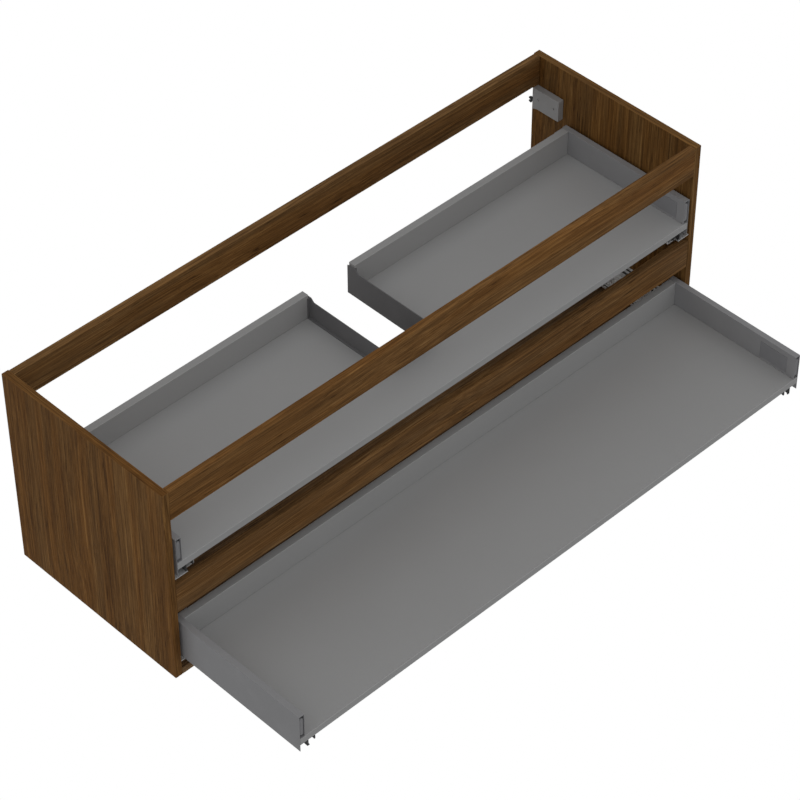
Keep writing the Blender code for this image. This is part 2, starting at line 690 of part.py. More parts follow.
def make_trap_side(word, side, drawer):
    """A bent sheet along one side of the cut-out: it stands on the floor and wraps the wall's end."""
    front = TRAP_FRONT + TRAP_SHEET + GAP
    slope_start, slope_end = TRAP_SLOPE
    outline = [
        (front, TRAP_SHEET_BOTTOM),
        (front, TRAP_SHEET_TOP),
        (slope_start, TRAP_SHEET_TOP),
        (slope_end, TRAP_POST_TOP),
        (TRAP_REAR, TRAP_POST_TOP),
        (TRAP_REAR, TRAP_SHEET_BOTTOM),
    ]
    sheet = outline_object(f"trap_surround_{word}", outline, TRAP_SHEET, "dark_sheet")
    x0, x1 = low_high(side * TRAP_HALF, side * (TRAP_HALF + TRAP_SHEET))
    sheet.location.x = x0
    inner = 0 if side > 0 else TRAP_SHEET
    fx0, fx1 = low_high(inner + side * TRAP_LAP, inner + side * (TRAP_SHEET + TRAP_FLANGE))
    foot_z = FLOOR_TOP + GAP
    post_rear = WALL_FRONT - GAP
    post_front = post_rear - TRAP_POST
    foot = ((fx0, front, foot_z), (fx1, post_front - GAP, foot_z + TRAP_FOOT))
    post = ((fx0, post_front, foot_z), (fx1, post_rear, TRAP_POST_TOP - PAST))
    join_boxes(sheet, [foot, post])
    under(drawer, sheet)


def make_trap_front(drawer):
    """The sheet across the front of the cut-out, with a flange on the floor in front of it."""
    half = TRAP_HALF + TRAP_SHEET
    low = (-half, TRAP_FRONT, TRAP_SHEET_BOTTOM)
    high = (half, TRAP_FRONT + TRAP_SHEET, TRAP_SHEET_TOP)
    sheet = box_object("trap_surround_front", low, high, "dark_sheet")
    foot_z = FLOOR_TOP + GAP
    foot_low = Vector((-half, TRAP_FRONT - TRAP_FLANGE, foot_z)) - sheet.location
    foot_high = Vector((half, TRAP_FRONT + TRAP_LAP, foot_z + TRAP_FOOT)) - sheet.location
    join_boxes(sheet, [(foot_low, foot_high)])
    under(drawer, sheet)


def cut_trap_opening(floor, drawer):
    half = TRAP_HALF + TRAP_SHEET + GAP
    low = (-half, TRAP_FRONT - GAP, FLOOR_BOTTOM - PAST)
    high = (half, WALL_REAR + PAST, FLOOR_TOP + PAST)
    boolean(floor, box_cutter("trap_opening", low, high, drawer))


def make_drawer(word):
    base, opened = DRAWERS[word]
    drawer = parent_empty(f"{word}_drawer_slide", (0, -DEPTH - opened, base))
    floor = make_drawer_floor(word, drawer)
    if word == "upper":
        cut_trap_opening(floor, drawer)
        make_back_wall("drawer_back_upper_left", -wall_half(), -TRAP_WALL_END, drawer)
        make_back_wall("drawer_back_upper_right", TRAP_WALL_END, wall_half(), drawer)
        make_trap_side("left", -1, drawer)
        make_trap_side("right", 1, drawer)
        make_trap_front(drawer)
    else:
        make_back_wall("drawer_back_lower", -wall_half(), wall_half(), drawer)
    for end, side in SIDES.items():
        tag = f"{word}_{end}"
        make_drawer_side(tag, side, drawer)
        make_cover_cap(tag, side, drawer)
        make_front_bracket(tag, side, drawer)
        make_back_bracket(tag, side, drawer)
        make_drawer_profile(tag, side, drawer)
        make_catch(tag, side, drawer)
        make_middle_profile(tag, side, base, opened)
        make_cabinet_profile(tag, side, base)
        make_damper(tag, side, base)


clear_scene()
parts = new_collection("vanity_cabinet")
cutters = new_collection("cutters")
make_carcass()
make_hangers()
for drawer_word in DRAWERS:
    make_drawer(drawer_word)
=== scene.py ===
"""Looks of the wall-hung vanity cabinet: materials, small hardware, studio and camera.

Metres, with X to the right, Y towards the wall and Z up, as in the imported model.
"""

import math

import bmesh
import bpy
from mathutils import Matrix, Vector


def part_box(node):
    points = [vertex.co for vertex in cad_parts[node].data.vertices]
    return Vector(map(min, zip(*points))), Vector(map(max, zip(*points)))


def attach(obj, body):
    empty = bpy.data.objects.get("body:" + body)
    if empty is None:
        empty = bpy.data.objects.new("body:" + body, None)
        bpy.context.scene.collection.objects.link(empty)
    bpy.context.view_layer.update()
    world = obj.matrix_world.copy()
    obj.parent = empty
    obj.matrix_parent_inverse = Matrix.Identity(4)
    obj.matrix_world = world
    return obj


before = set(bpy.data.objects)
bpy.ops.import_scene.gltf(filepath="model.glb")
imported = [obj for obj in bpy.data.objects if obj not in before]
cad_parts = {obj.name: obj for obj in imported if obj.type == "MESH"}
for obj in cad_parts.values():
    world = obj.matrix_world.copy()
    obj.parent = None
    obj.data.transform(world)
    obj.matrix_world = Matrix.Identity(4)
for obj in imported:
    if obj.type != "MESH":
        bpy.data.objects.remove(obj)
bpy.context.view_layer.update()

MM = 0.001
CABINET_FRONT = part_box("side_panel_left")[0].y
PANEL_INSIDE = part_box("side_panel_right")[0].x
RUNNERS = (("upper_left", -1), ("upper_right", 1), ("lower_left", -1), ("lower_right", 1))
RUNNER_DROP = 5 * MM  # from a runner's underside up to the drawer side's lower edge

# Screws: radius and height of each head, with shank, rim and cross recess as shares of them
FLANGE_SCREW = (3.3 * MM, 1.9 * MM)
FLOOR_SCREW = (2.9 * MM, 1.6 * MM)
SHANK_SHARE = 0.45
SHANK_LENGTH = 1.0 * MM
RIM_SHARE = 0.35
RIM_STEPS = 5
RIM_POWER = 0.6
CROSS_SHARES = (1.15, 0.26, 1.2)

# Where the screws are
FLANGE_FACE = 1.5 * MM
FLANGE_SCREWS = (37 * MM, 133 * MM, 261 * MM)
FLANGE_SCREW_HEIGHT = 22 * MM
PROFILE_SHEET = 1.2 * MM
PROFILE_SCREWS = (30 * MM, 150 * MM, 270 * MM)
PROFILE_SCREW_DISTANCES = (20 * MM, 43 * MM)
BRACKET_SCREW_IN = 11 * MM
BRACKET_SCREW_SHARES = (0.22, 0.78)

# Guide bars in the troughs: their span along Y, then material, near, far, bottom and top of each
GUIDES = (
    (
        (30 * MM, 318 * MM),
        {"near_web": ("bright_zinc", 1.9 * MM, 20.2 * MM, -3.7 * MM, -2.2 * MM)},
    ),
    (
        (30 * MM, 186 * MM),
        {
            # The far web is black as painted shade, for the dark gap beside the middle profile
            "far_shade_web": ("black_steel", 43.4 * MM, 51.2 * MM, -3.7 * MM, -2.6 * MM),
            "far_rib": ("white_plastic", 43.6 * MM, 46.2 * MM, -2.8 * MM, -1.0 * MM),
        },
    ),
)
GUIDE_EDGE = 0.25 * MM

# Black strips painted as the shade in the flanges' slots, and beads on the screw flanges
BAND_SPANS = ((42 * MM, 128 * MM), (138 * MM, 256 * MM), (266 * MM, 318 * MM))
SHADED_SLOT_HEIGHTS = ((9.2 * MM, 15.4 * MM), (22.4 * MM, 26.8 * MM))
SHADED_SLOT_DEPTH = (1.3 * MM, 1.8 * MM)
BEAD_HEIGHTS = ((5.4 * MM, 8.4 * MM), (16.6 * MM, 21.6 * MM), (27.8 * MM, 31.2 * MM))
BEAD_DEPTH = (1.3 * MM, 2.3 * MM)
BAND_EDGE = 0.2 * MM

# Nylon blocks: their span behind the middle profile, then near, far, bottom and top
CARRIAGE_SPAN = (0.3 * MM, 15 * MM)
CARRIAGE = (22 * MM, 41 * MM, -2.4 * MM, 1.8 * MM)
CARRIAGE_EDGE = 0.7 * MM

# Dampers: where the rod leaves the tube, the tube's radius, and the rod's outline as (radius, distance) in mm
DAMPER_TUBE_START = 10 * MM
DAMPER_TUBE_RADIUS = 3.7 * MM
DAMPER_ROD = (
    (0, -2),
    (1, -2),
    (1, 12),
    (2.04, 12),
    (2.4, 12.5),
    (2.4, 15.4),
    (2.04, 16),
    (0.96, 16.4),
    (0, 16.5),
)

# Catch mounts: distances from the panel, then places behind and above the drawer side's front lower edge
CHEEKS = ((24.2 * MM, 25.8 * MM), (45.3 * MM, 46.9 * MM))
CHEEK_SPAN = (17.5 * MM, 26.5 * MM)
CHEEK_HEIGHTS = (9 * MM, 15.8 * MM)
CHEEK_EDGE = 0.4 * MM
PIN_BEHIND = 22 * MM
PIN_HEIGHT = 12 * MM
PIN_PROUD = 0.3 * MM
PIN_RADIUS = 0.9 * MM
PIN_CHAMFER = 0.2 * MM

# Segments around each kind of turned piece, and within each rounded edge
SCREW_SEGMENTS = 32
ROD_SEGMENTS = 28
PIN_SEGMENTS = 24
EDGE_SEGMENTS = 3

# Camera
CAMERA_PLACE = (-2.941684, -3.344373, 4.10113)
CAMERA_AZIMUTH = math.radians(-44.116)
CAMERA_ELEVATION = math.radians(43.045)
CAMERA_ROLL = math.radians(-0.164)
CAMERA_LENS = 134.176
CAMERA_REACH = 100
SENSOR = 36.0

# Studio
SKY_STRENGTH = 0.46
SKY_FROM_BELOW = 0.75
FLOOR_HEIGHT = -0.9
FLOOR_HALF = 25.0
FLOOR_COLOUR = 0.8
FLOOR_CLOUDS = 3.0
FLOOR_CLOUD_DEPTH = 0.01
LAMP_PLACE = (-1.4, -1.6, 3.4)
LAMP_SIZE = 2.4
LAMP_POWER = 5.0


class Shade:
    """A material's node tree, with short calls for the nodes that these materials are made of."""

    def __init__(self, name):
        self.material = bpy.data.materials.new(name)
        self.material.use_nodes = True
        self.tree = self.material.node_tree
        self.shader = self.tree.nodes["Principled BSDF"]
        self.place = self.add("TexCoord", {}).outputs["Object"]

    def add(self, kind, inputs, **settings):
        node = self.tree.nodes.new("ShaderNode" + kind)
        for key, value in settings.items():
            setattr(node, key, value)
        for key, value in inputs.items():
            self.feed(node.inputs[key], value)
        return node

    def feed(self, socket, value):
        if isinstance(value, bpy.types.NodeSocket):
            self.tree.links.new(value, socket)
        else:
            socket.default_value = value

    def calc(self, operation, a, b=0.0, c=0.0):
        return self.add("Math", {0: a, 1: b, 2: c}, operation=operation).outputs[0]

    def plus(self, base, texture, weight):
        """The base with so much of a texture added."""
        return self.calc("MULTIPLY_ADD", texture, weight, base)

    def around(self, base, texture, depth):
        """The base, raised and lowered by a texture about its middle."""
        return self.plus(base, self.calc("SUBTRACT", texture, 0.5), depth)

    def vector(self, operation, a, b=(0, 0, 0), c=(0, 0, 0)):
        return self.add("VectorMath", {0: a, 1: b, 2: c}, operation=operation).outputs[0]

    def split(self, vector):
        return self.add("SeparateXYZ", {0: vector}).outputs

    def normal(self):
        return self.add("NewGeometry", {}).outputs["Normal"]

    def stretched(self, place, factors, offset=0.0):
        return self.vector("MULTIPLY_ADD", place, factors, (offset, offset * 0.7, offset * 1.3))

    def noise(self, place, scale=1.0, detail=2.0, roughness=0.5):
        inputs = {"Vector": place, "Scale": scale, "Detail": detail, "Roughness": roughness}
        return self.add("TexNoise", inputs).outputs[0]

    def spread(self, value, low, high, to_low=0.0, to_high=1.0):
        inputs = {"Value": value, "From Min": low, "From Max": high, "To Min": to_low, "To Max": to_high}
        return self.add("MapRange", inputs, interpolation_type="SMOOTHSTEP").outputs[0]

    def ramp(self, value, stops):
        node = self.add("ValToRGB", {0: value})
        elements = node.color_ramp.elements
        while len(elements) < len(stops):
            elements.new(0.5)
        for element, (position, colour) in zip(elements, stops):
            element.position = position
            element.color = (*colour, 1.0)
        return node.outputs[0]

    def mixed(self, factor, a, b, mode="MIX"):
        node = self.add("Mix", {}, data_type="RGBA", blend_type=mode)
        for index, value in ((0, factor), (6, a), (7, b)):
            if isinstance(value, tuple) and len(value) == 3:
                value = (*value, 1.0)
            self.feed(node.inputs[index], value)
        return node.outputs[2]

    def shaded(self, colour, factor):
        """A colour made lighter or darker by a number."""
        scaled = self.add("VectorMath", {0: colour, "Scale": factor}, operation="SCALE")
        return scaled.outputs[0]

    def edge_nearness(self, low, high, width):
        """1 on the edges of a box, falling to 0 this far from them."""
        from_low = self.vector("SUBTRACT", self.place, tuple(low))
        from_high = self.vector("SUBTRACT", tuple(high), self.place)
        x, y, z = self.split(self.vector("MINIMUM", from_low, from_high))
        smaller = self.calc("MINIMUM", x, y)
        larger = self.calc("MAXIMUM", x, y)
        second = self.calc("MAXIMUM", smaller, self.calc("MINIMUM", larger, z))
        return self.spread(second, 0.0, width, 1.0, 0.0)

    def front_edge_nearness(self, low, high, width):
        """1 on a box's upper front edge, falling to 0 this far from it."""
        y, z = self.split(self.place)[1:]
        gap = self.calc("MAXIMUM", self.calc("SUBTRACT", y, low.y), self.calc("SUBTRACT", high.z, z))
        return self.spread(gap, 0.0, width, 1.0, 0.0)

    def bump(self, height, distance, strength=1.0):
        inputs = {"Height": height, "Distance": distance, "Strength": strength}
        self.feed(self.shader.inputs["Normal"], self.add("Bump", inputs).outputs[0])

    def finish(self, colour, roughness, **constants):
        self.feed(self.shader.inputs["Base Color"], colour)
        self.feed(self.shader.inputs["Roughness"], roughness)
        for name, value in constants.items():
            self.shader.inputs[name.replace("_", " ")].default_value = value
        return self.material


# Walnut. Each layer of the grain: features per metre along and across it, offset, detail and roughness
GRAIN = {
    "wave": (1.7, 5.0, 3.0, 1.0, 0.5),
    "band": (0.9, 22.0, 11.0, 2.0, 0.5),
    "streak": (2.6, 190.0, 23.0, 3.0, 0.65),
    "fibre": (9.0, 620.0, 37.0, 3.0, 0.7),
    "light_line": (0.8, 165.0, 51.0, 1.0, 0.5),
    "dark_mark": (24.0, 330.0, 67.0, 1.0, 0.5),
    "pore": (90.0, 1500.0, 83.0, 1.0, 0.5),
    "hue": (1.4, 30.0, 97.0, 2.0, 0.5),
}
# How far each layer moves the tone, and the noise levels between which the sparse ones appear
MIDDLE_TONE = 0.55
TONE_DEPTH = {"band": 0.55, "streak": 1.05, "fibre": 1.75}
LIGHT_LINE_LEVELS, LIGHT_LINE_DEPTH = (0.64, 0.74), 0.20
DARK_MARK_LEVELS, DARK_MARK_DEPTH = (0.64, 0.74), -0.45
PORE_LEVELS, PORE_DEPTH = (0.60, 0.72), -0.16
HUE_LEVELS = (0.36, 0.64)
# The patches that hold the dark marks: features per metre, offset and levels
PATCHES, PATCH_OFFSET, PATCH_LEVELS = (9.0, 14.0, 14.0), 5.0, (0.48, 0.6)
WAVE_DEPTH = 0.035
END_FINENESS = 1.7
END_UPWARD = 0.8  # an edge counts as an end when its normal is this near to upright
WALNUT = [
    (0.0, (0.056, 0.0262, 0.0105)),
    (0.3, (0.132, 0.0635, 0.0235)),
    (0.55, (0.205, 0.1000, 0.0365)),
    (0.8, (0.295, 0.1520, 0.0570)),
    (1.0, (0.400, 0.2180, 0.0900)),
]
HUES = ((1.01, 0.96, 0.84), (0.98, 1.03, 1.08))
# Edges with wear and a painted highlight on them: colour, width, most of it that shows, features per metre and
# levels
WORN_HIGHLIT_WOOD = (0.36, 0.215, 0.105)
WORN_HIGHLIT_WIDTH, WORN_HIGHLIT_DEPTH, WORN_HIGHLIT_PATCHES = 1.1 * MM, 0.30, 45.0
WORN_HIGHLIT_LEVELS = (0.40, 0.7, 0.1, 1.0)
# Painted highlight: upward faces are made paler between these heights, standing in for the stronger light from
# above
TOP_LIGHT_HEIGHTS, TOP_LIGHT_DEPTH = (0.30, 0.45), 0.10
TOP_LIGHT_UPWARD_LEVELS = (0.5, 0.9)
WALNUT_ROUGHNESS, STREAK_ROUGHNESS, PORE_ROUGHNESS = 0.44, 0.16, 0.12
FIBRE_RELIEF, STREAK_RELIEF, PORE_RELIEF = 0.35, 0.3, -0.6


def grain_place(shade, along, edges_along):
    """Coordinates as (along the grain, across it, depth), with the end edges' own grain direction."""
    x, y, z = shade.split(shade.place)
    axes = {"X": (x, y, z), "Y": (y, x, z), "Z": (z, y, x)}
    main = shade.add("CombineXYZ", dict(enumerate(axes[along]))).outputs[0]
    if along == edges_along:
        return main
    ends = shade.add("CombineXYZ", dict(enumerate(axes[edges_along]))).outputs[0]
    ends = shade.vector("MULTIPLY", ends, (1.0, END_FINENESS, END_FINENESS))
    upward = shade.split(shade.normal())[2]
    on_end = shade.calc("GREATER_THAN", shade.calc("ABSOLUTE", upward), END_UPWARD)
    node = shade.add("Mix", {0: on_end}, data_type="VECTOR")
    shade.feed(node.inputs[4], main)
    shade.feed(node.inputs[5], ends)
    return node.outputs[1]


def walnut(node, along, edges_along, seed, tint):
    """Walnut foil on one board: bands, streaks, fibres, pores, dark marks, edges with slight wear and a
    painted highlight, and upward faces made paler by painted light.
    """
    shade = Shade(f"walnut_{node}")
    place = grain_place(shade, along, edges_along)

    def grain(layer, source):
        along_it, across_it, offset, detail, roughness = GRAIN[layer]
        stretched = shade.stretched(source, (along_it, across_it, across_it), seed + offset)
        return shade.noise(stretched, 1.0, detail, roughness)

    shift = shade.calc("MULTIPLY", shade.calc("SUBTRACT", grain("wave", place), 0.5), WAVE_DEPTH)
    warped = shade.vector("ADD", place, shade.add("CombineXYZ", {1: shift, 2: shift}).outputs[0])

    layers = {layer: grain(layer, warped) for layer in TONE_DEPTH}
    tone = MIDDLE_TONE - 0.5 * sum(TONE_DEPTH.values())
    for layer, depth in TONE_DEPTH.items():
        tone = shade.plus(tone, layers[layer], depth)
    lines = shade.spread(grain("light_line", warped), *LIGHT_LINE_LEVELS)
    tone = shade.plus(tone, lines, LIGHT_LINE_DEPTH)
    patches = shade.noise(shade.stretched(place, PATCHES, seed + PATCH_OFFSET))
    marks = shade.spread(grain("dark_mark", warped), *DARK_MARK_LEVELS)
    marks = shade.calc("MULTIPLY", marks, shade.spread(patches, *PATCH_LEVELS))
    tone = shade.plus(tone, marks, DARK_MARK_DEPTH)
    pores = shade.spread(grain("pore", warped), *PORE_LEVELS)
    tone = shade.plus(tone, pores, PORE_DEPTH)

    colour = shade.ramp(tone, WALNUT)
    hue = shade.spread(grain("hue", warped), *HUE_LEVELS)
    warm, cool = (tuple(h * t for h, t in zip(one, tint)) for one in HUES)
    colour = shade.mixed(1.0, colour, shade.mixed(hue, warm, cool), "MULTIPLY")
    # Painted highlight: the upward faces of the higher boards are made paler, as if lit more strongly from
    # above
    upward = shade.spread(shade.split(shade.normal())[2], *TOP_LIGHT_UPWARD_LEVELS)
    height = shade.spread(shade.split(shade.place)[2], *TOP_LIGHT_HEIGHTS)
    painted_top_light = shade.calc("MULTIPLY", upward, height)
    colour = shade.shaded(colour, shade.plus(1.0, painted_top_light, TOP_LIGHT_DEPTH))
    # Paler edges: partly wear, partly a painted highlight along the board's edges
    near = shade.edge_nearness(*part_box(node), WORN_HIGHLIT_WIDTH)
    wear_and_highlight = shade.spread(shade.noise(place, WORN_HIGHLIT_PATCHES, 3.0), *WORN_HIGHLIT_LEVELS)
    wear_and_highlight = shade.calc("MULTIPLY", near, wear_and_highlight)
    colour = shade.mixed(shade.calc("MULTIPLY", wear_and_highlight, WORN_HIGHLIT_DEPTH), colour, WORN_HIGHLIT_WOOD)

    rough = shade.plus(WALNUT_ROUGHNESS, layers["streak"], STREAK_ROUGHNESS)
    rough = shade.plus(rough, pores, PORE_ROUGHNESS)
    relief = shade.plus(shade.calc("MULTIPLY", layers["streak"], STREAK_RELIEF), layers["fibre"], FIBRE_RELIEF)
    shade.bump(shade.plus(relief, pores, PORE_RELIEF), 0.12 * MM, 0.6)
    return shade.finish(colour, rough, Specular_IOR_Level=0.04)


# In the materials below, a noise's first number is its features per metre


def coated_board(name, base, low, high):
    """Grey melamine on chipboard: a fine pearl texture, faint clouds and a painted highlight along the upper
    front edge.
    """
    shade = Shade(name)
    clouds = shade.noise(shade.place, 7.0, 3.0)
    pearl = shade.noise(shade.place, 900.0, 2.0, 0.6)
    specks = shade.noise(shade.place, 3200.0, 1.0)
    factor = shade.plus(0.975, clouds, 0.05)
    factor = shade.around(factor, pearl, 0.10)
    factor = shade.around(factor, specks, 0.10)
    # Painted highlight: the upper front edge is made paler
    factor = shade.plus(factor, shade.front_edge_nearness(low, high, 1.3 * MM), 0.20)
    shade.bump(pearl, 0.05 * MM, 0.5)
    rough = shade.plus(0.46, pearl, 0.18)
    return shade.finish(shade.shaded(base, factor), rough, Specular_IOR_Level=0.2)


def powder_coat(name, base, metallic=0.0):
    """Powder-coated sheet: orange peel, a fine metallic speckle and slightly rubbed patches."""
    shade = Shade(name)
    peel = shade.noise(shade.place, 620.0, 2.0, 0.4)
    speckle = shade.noise(shade.place, 4200.0, 1.0)
    rubbed = shade.spread(shade.noise(shade.place, 16.0, 4.0, 0.6), 0.45, 0.75)
    factor = shade.plus(shade.around(1.0, speckle, 0.22), rubbed, 0.05)
    rough = shade.plus(shade.plus(0.40, peel, 0.12), rubbed, -0.07)
    shade.bump(peel, 0.06 * MM, 0.55)
    return shade.finish(shade.shaded(base, factor), rough, Metallic=metallic, Specular_IOR_Level=0.2)


def moulded_plastic(name, base, grain=1500.0, roughness=0.5):
    """Moulded plastic with a spark-eroded grain and a little unevenness in its gloss."""
    shade = Shade(name)
    texture = shade.noise(shade.place, grain, 2.0, 0.6)
    clouds = shade.noise(shade.place, 60.0, 2.0)
    factor = shade.around(shade.around(1.0, texture, 0.14), clouds, 0.08)
    rough = shade.plus(roughness - 0.08, texture, 0.16)
    shade.bump(texture, 0.05 * MM, 0.6)
    return shade.finish(shade.shaded(base, factor), rough, Specular_IOR_Level=0.4)


def plated_steel(name, base, metallic, roughness):
    """Rolled steel with a thin plating: drawn lines along Y, blotches and tiny scratches."""
    shade = Shade(name)
    lines = shade.noise(shade.stretched(shade.place, (2600.0, 18.0, 2600.0)), 1.0, 3.0, 0.6)
    blotches = shade.noise(shade.place, 130.0, 3.0, 0.6)
    scratches = shade.noise(shade.stretched(shade.place, (700.0, 60.0, 900.0), 4.0), 1.0, 1.0)
    scratches = shade.spread(scratches, 0.68, 0.72)
    factor = shade.around(shade.around(1.0, lines, 0.25), blotches, 0.22)
    factor = shade.plus(factor, scratches, 0.15)
    rough = shade.plus(shade.plus(roughness - 0.08, lines, 0.18), blotches, 0.10)
    shade.bump(shade.plus(lines, scratches, 0.6), 0.02 * MM, 0.5)
    return shade.finish(shade.shaded(base, factor), rough, Metallic=metallic)


# Each board's grain direction, its edges' grain direction, its seed and its tint
BOARDS = {
    "side_panel_left": ("Z", "Y", 1.0, (0.98, 0.93, 0.76)),
    "side_panel_right": ("Z", "Y", 7.3, (0.92, 0.90, 0.74)),
    # The bottom panel's blue-grey tint is a painted sheen, standing in for light reflected at a grazing angle
    "bottom_panel": ("X", "X", 13.1, (0.97, 1.12, 1.45)),
    "front_top_rail": ("X", "X", 19.7, (1.02, 0.98, 0.86)),
    "front_mid_rail": ("X", "X", 26.2, (1.02, 1.06, 1.10)),
    "back_top_rail": ("X", "X", 31.9, (1.02, 1.03, 0.98)),
}
GREY_BOARD = (0.463, 0.464, 0.464)
GREY_METAL = (0.365, 0.365, 0.374)
BRACKET_METAL = (0.330, 0.330, 0.340)
DARK_SHEET = (0.200, 0.198, 0.203)
CAP_PLASTIC = (0.300, 0.300, 0.314)
ZINC = (0.88, 0.88, 0.88)
BRIGHT_ZINC = (0.97, 0.97, 0.96)
BLACK_PLASTIC = (0.060, 0.060, 0.061)
WHITE_PLASTIC = (0.95, 0.95, 0.94)
GREY_PLASTIC = (0.385, 0.382, 0.380)
BLACK_STEEL = (0.030, 0.030, 0.031)

COAT = {
    "grey_metal": powder_coat("powder_coat_grey", GREY_METAL),
    "bracket_metal": powder_coat("powder_coat_bracket", BRACKET_METAL, 0.3),
    "dark_sheet": powder_coat("powder_coat_dark", DARK_SHEET),
    "cap_plastic": moulded_plastic("cap_plastic_grey", CAP_PLASTIC, 1900.0, 0.42),
    "zinc_steel": plated_steel("zinc_plated_steel", ZINC, 0.55, 0.34),
    "bright_zinc": plated_steel("bright_zinc_steel", BRIGHT_ZINC, 0.2, 0.28),
    "black_plastic": moulded_plastic("plastic_black", BLACK_PLASTIC),
    "white_plastic": moulded_plastic("plastic_white", WHITE_PLASTIC, 1200.0, 0.4),
    "grey_plastic": moulded_plastic("plastic_grey", GREY_PLASTIC, 1300.0),
    "black_steel": plated_steel("black_plated_steel", BLACK_STEEL, 0.4, 0.42),
}
# The material of each CAD node, by the first start of its name that fits
NODE_COATS = {
    "cover_cap": "cap_plastic",
    "back_bracket": "grey_metal",
    "drawer_side": "grey_metal",
    "front_bracket": "bracket_metal",
    "trap_surround": "dark_sheet",
    "runner_damper": "black_plastic",
    "runner_middle": "bright_zinc",
    "runner": "zinc_steel",
    "drawer_catch": "black_plastic",
    "hanger_housing": "grey_plastic",
    "hanger_hook": "black_steel",
    "hanger": "zinc_steel",
}
# The radius of each CAD node's rounded edges, in mm
ROUNDING = {
    "side_panel": 0.25,
    "bottom_panel": 0.25,
    "front_top_rail": 0.25,
    "front_mid_rail": 0.25,
    "back_top_rail": 0.25,
    "drawer_floor": 0.2,
    "drawer_back": 0.2,
    "drawer_side": 0.4,
    "back_bracket": 0.3,
    "trap_surround": 0.4,
    "front_bracket": 0.4,
    "hanger_housing": 0.4,
    "drawer_catch": 0.25,
    "runner_cabinet": 0.3,
    "runner_middle": 0.3,
    "runner_drawer": 0.3,
}
WELD_DISTANCE = 1e-6
FLAT_ANGLE = math.radians(0.5)
ROUNDED_ANGLE = math.radians(30)


def dress_node(name, obj):
    """Gives a CAD node its material and its rounded edges."""
    if name in BOARDS:
        material = walnut(name, *BOARDS[name])
    elif name.startswith(("drawer_floor", "drawer_back")):
        material = coated_board(f"board_{name}", GREY_BOARD, *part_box(name))
    else:
        material = COAT[next(coat for start, coat in NODE_COATS.items() if name.startswith(start))]
    for slot in obj.material_slots:
        slot.material = material
    width = next((w for start, w in ROUNDING.items() if name.startswith(start)), None)
    if width:
        weld = obj.modifiers.new("weld", "WELD")
        weld.merge_threshold = WELD_DISTANCE
        flat = obj.modifiers.new("flat", "DECIMATE")
        flat.decimate_type = "DISSOLVE"
        flat.angle_limit = FLAT_ANGLE
        bevel = obj.modifiers.new("rounding", "BEVEL")
        bevel.width = width * MM
        bevel.segments = 2
        bevel.limit_method = "ANGLE"
        bevel.angle_limit = ROUNDED_ANGLE


# Small hardware. Distances are from a side panel's inner face, and heights from a drawer side's lower edge


def at(side, tag, distance, behind, height):
    """A point by its distance from the panel, behind the cabinet's front and above the side's lower edge."""
    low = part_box(f"runner_cabinet_{tag}")[0]
    return Vector((side * (PANEL_INSIDE - distance), CABINET_FRONT + behind, low.z + RUNNER_DROP + height))


def drawer_of(tag):
    return tag.split("_")[0] + "_drawer"


def mesh_from(name, bm, material, sharp=35):
    mesh = bpy.data.meshes.new(name)
    bmesh.ops.recalc_face_normals(bm, faces=bm.faces)
    bm.to_mesh(mesh)
    bm.free()
    mesh.shade_smooth()
    mesh.set_sharp_from_angle(angle=math.radians(sharp))
    mesh.materials.append(material)
    return mesh


def piece(name, mesh, place, body):
    obj = bpy.data.objects.new(name, mesh)
    bpy.context.scene.collection.objects.link(obj)
    obj.matrix_world = place
    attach(obj, body)


def facing(point, direction):
    """A place at this point whose Z axis points this way."""
    turn = Vector((0, 0, 1)).rotation_difference(Vector(direction))
    return Matrix.Translation(point) @ turn.to_matrix().to_4x4()


def turned(bm, profile, segments):
    """A closed body turned about Z from (radius, height) points that start and end on the axis."""
    rings = []
    for radius, height in profile:
        if radius == 0:
            rings.append([bm.verts.new((0, 0, height))])
            continue
        angles = (2 * math.pi * i / segments for i in range(segments))
        rings.append([bm.verts.new((radius * math.cos(a), radius * math.sin(a), height)) for a in angles])
    for lower, upper in zip(rings, rings[1:]):
        for i in range(segments):
            j = (i + 1) % segments
            below = [lower[i % len(lower)], lower[j % len(lower)]]
            above = [upper[j % len(upper)], upper[i % len(upper)]]
            bm.faces.new(list(dict.fromkeys(below + above)))


def add_bar(bm, low, high):
    """Adds the box between two corners."""
    low, high = Vector(low), Vector(high)
    size = Vector(map(abs, high - low))
    place = Matrix.Translation((low + high) / 2) @ Matrix.Diagonal((*size, 1.0))
    bmesh.ops.create_cube(bm, size=1.0, matrix=place)


def rounded_bars(name, corners, edge, material):
    """One mesh of bars, each between two corners, with rounded edges."""
    bm = bmesh.new()
    for low, high in corners:
        add_bar(bm, low, high)
    bmesh.ops.bevel(bm, geom=bm.edges, offset=edge, segments=EDGE_SEGMENTS, profile=0.5, affect="EDGES")
    return mesh_from(name, bm, material, 50)


